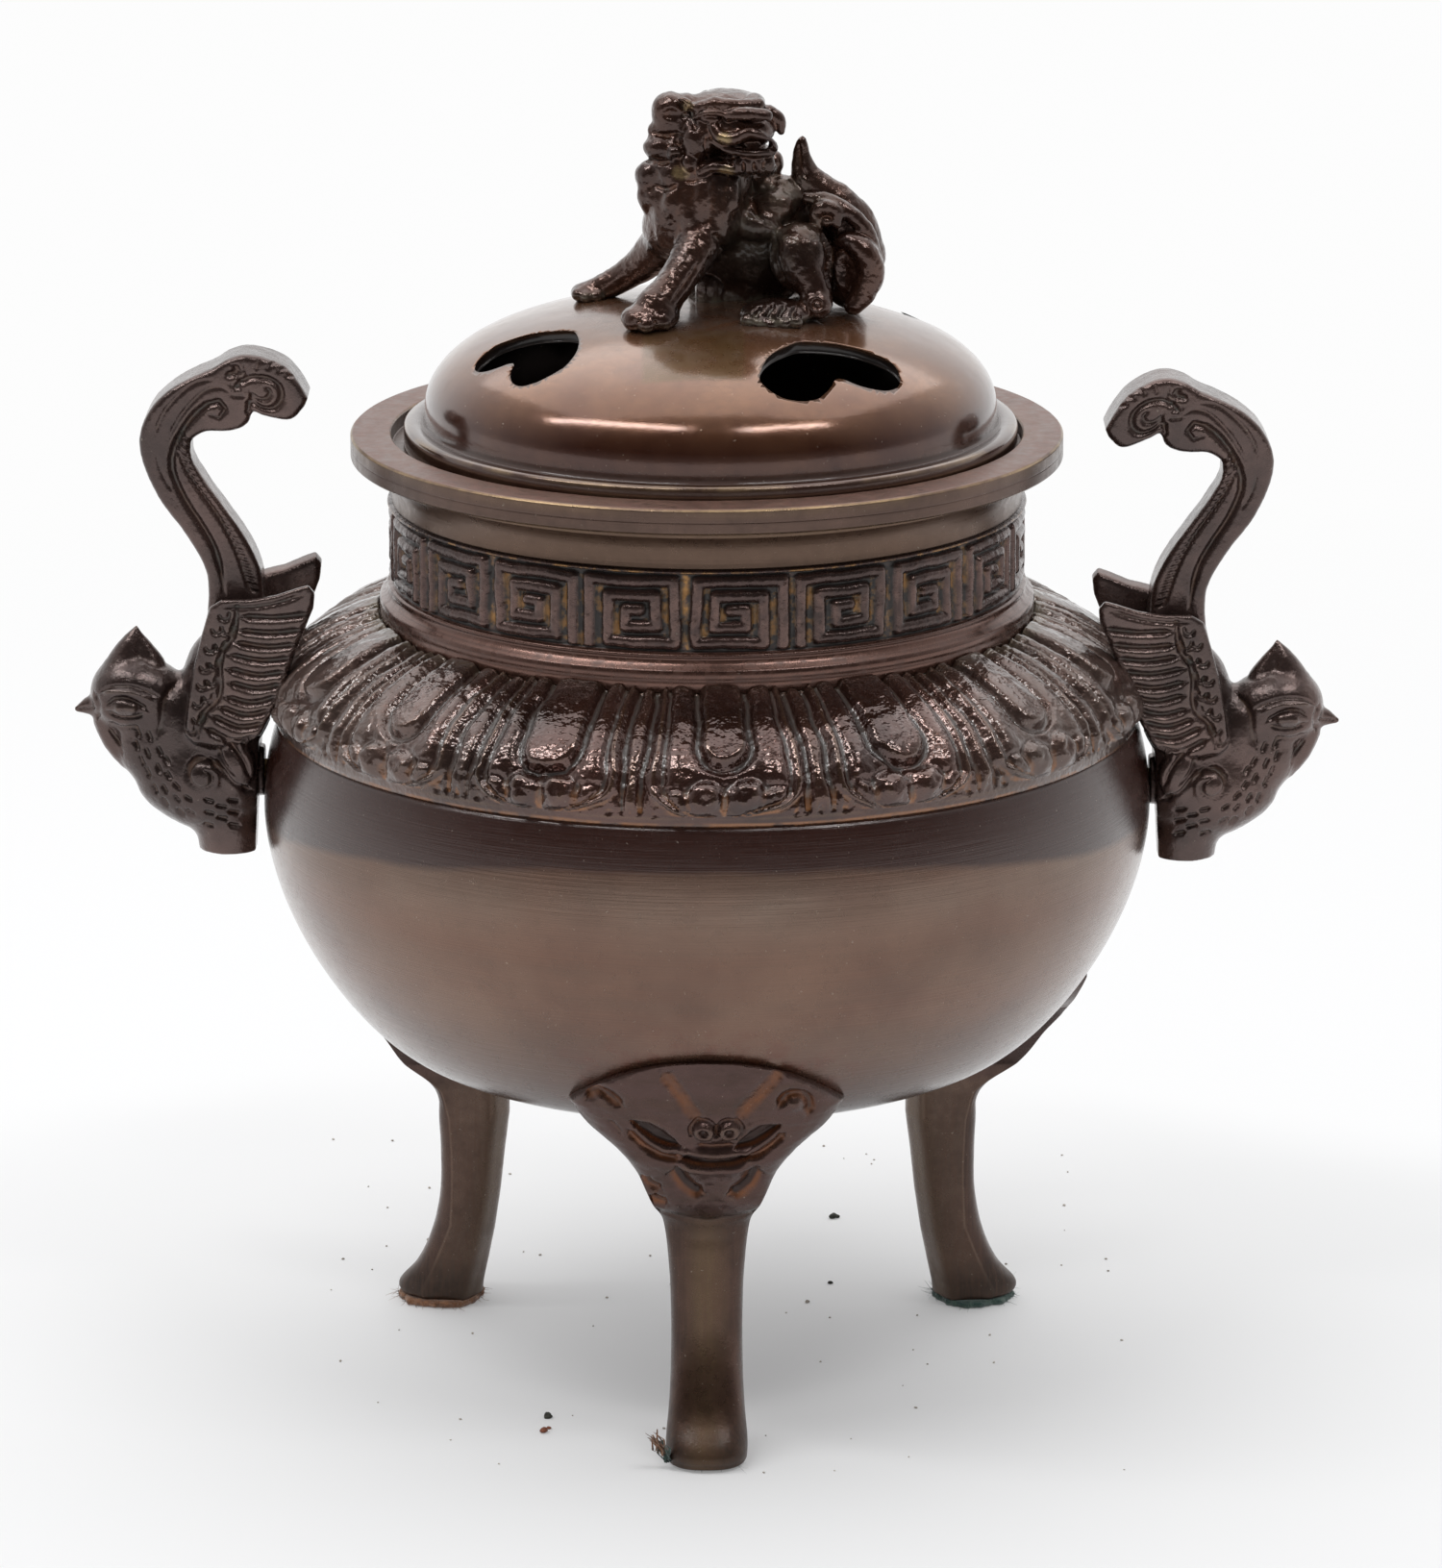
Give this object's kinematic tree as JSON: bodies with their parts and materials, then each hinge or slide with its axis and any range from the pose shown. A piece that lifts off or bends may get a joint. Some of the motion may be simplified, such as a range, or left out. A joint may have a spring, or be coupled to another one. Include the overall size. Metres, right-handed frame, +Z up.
{
  "type": "tripod censer",
  "caption": "Round bronze incense burner on masked legs with a petal collar, fret neck, crested bird handles and a lift-off vented cover carrying a seated lion.",
  "frame": {"origin": "on the floor under the axis of the bowl, in the plane of the felt pads' undersides", "axes": "+Z up; the front leg points along -Y; the bird handles point along +X and -X"},
  "size_m": [0.1626, 0.114, 0.1677],
  "materials": {
    "bowl_bronze": "satin dark red-brown patina over bronze, fine turning lines",
    "collar_bronze": "glossy cast bronze with a sandy grain and grey-green grime in the hollows",
    "fret_bronze": "dark bronze with worn brassy edges",
    "rim_bronze": "satin bronze, edges worn bright",
    "cover_bronze": "lighter brown satin bronze with an olive patch",
    "lion_bronze": "glossy brown-black bronze with grime in the recesses",
    "bird_bronze": "glossy brown-black bronze with red-brown recesses",
    "leg_bronze": "dark bronze with vertical filing lines",
    "fastener_brass": "dull worn brass",
    "green_felt": "worn green felt",
    "brown_felt": "worn brown felt"
  },
  "bodies": {
    "censer": {"bowl": "bowl_bronze", "petal_collar": "collar_bronze", "neck_band": "fret_bronze", "mouth_rim": "rim_bronze", "right_bird_handle": "bird_bronze", "left_bird_handle": "bird_bronze", "front_leg": "leg_bronze", "front_pad": "green_felt", "right_rear_leg": "leg_bronze", "right_rear_pad": "green_felt", "left_rear_leg": "leg_bronze", "left_rear_pad": "brown_felt", "left_handle_rivet": "fastener_brass", "right_handle_rivet": "fastener_brass", "front_leg_rivet": "fastener_brass", "right_rear_leg_rivet": "fastener_brass", "left_rear_leg_rivet": "fastener_brass"},
    "cover": {"cover": "cover_bronze", "finial_lion": "lion_bronze", "finial_washer": "fastener_brass", "finial_nut": "fastener_brass"}
  },
  "joints": [
    {"name": "cover_lift", "type": "slide", "parent": "censer", "child": "cover", "axis": [0, 0, 1], "range_m": [0, 0.06]}
  ]
}
